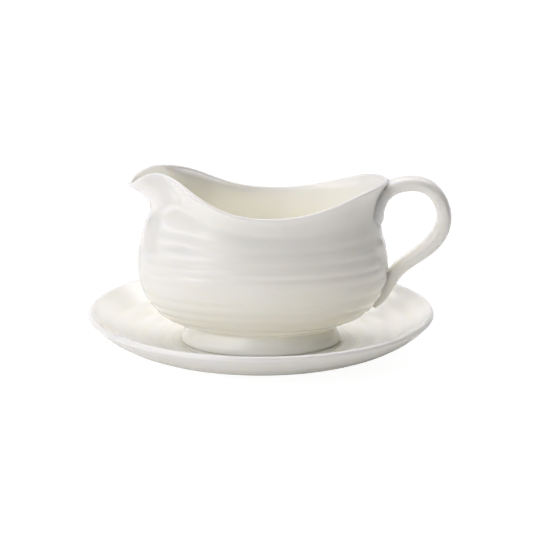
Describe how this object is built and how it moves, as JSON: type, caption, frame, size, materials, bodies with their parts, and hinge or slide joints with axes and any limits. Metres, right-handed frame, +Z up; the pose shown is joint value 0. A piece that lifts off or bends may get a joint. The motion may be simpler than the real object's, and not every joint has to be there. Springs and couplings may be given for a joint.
{
  "type": "gravy boat",
  "caption": "Footed oval porcelain gravy boat with pouring spout and loop handle, ringed like thrown clay, resting in a round rippled stand.",
  "frame": {"origin": "on the surface the stand rests on, under the middle of the whole set; the stand's own axis is 5 mm towards the spout from it", "axes": "+Z up, +X from the pouring lip towards the handle, +Y to the left of the handle end as seen from the spout; the XZ plane is the plane of symmetry"},
  "size_m": [0.2135, 0.2036, 0.1099],
  "materials": {
    "stand_glaze": "clear gloss glaze over white porcelain",
    "boat_glaze": "clear gloss glaze over white porcelain",
    "handle_glaze": "clear gloss glaze over white porcelain"
  },
  "bodies": {
    "stand": {"stand": "stand_glaze"},
    "boat": {"boat_body": "boat_glaze", "boat_handle": "handle_glaze"}
  },
  "joints": [
    {"name": "boat_lift", "type": "slide", "parent": "stand", "child": "boat", "axis": [0, 0, 1], "range_m": [0, 0.12]}
  ]
}
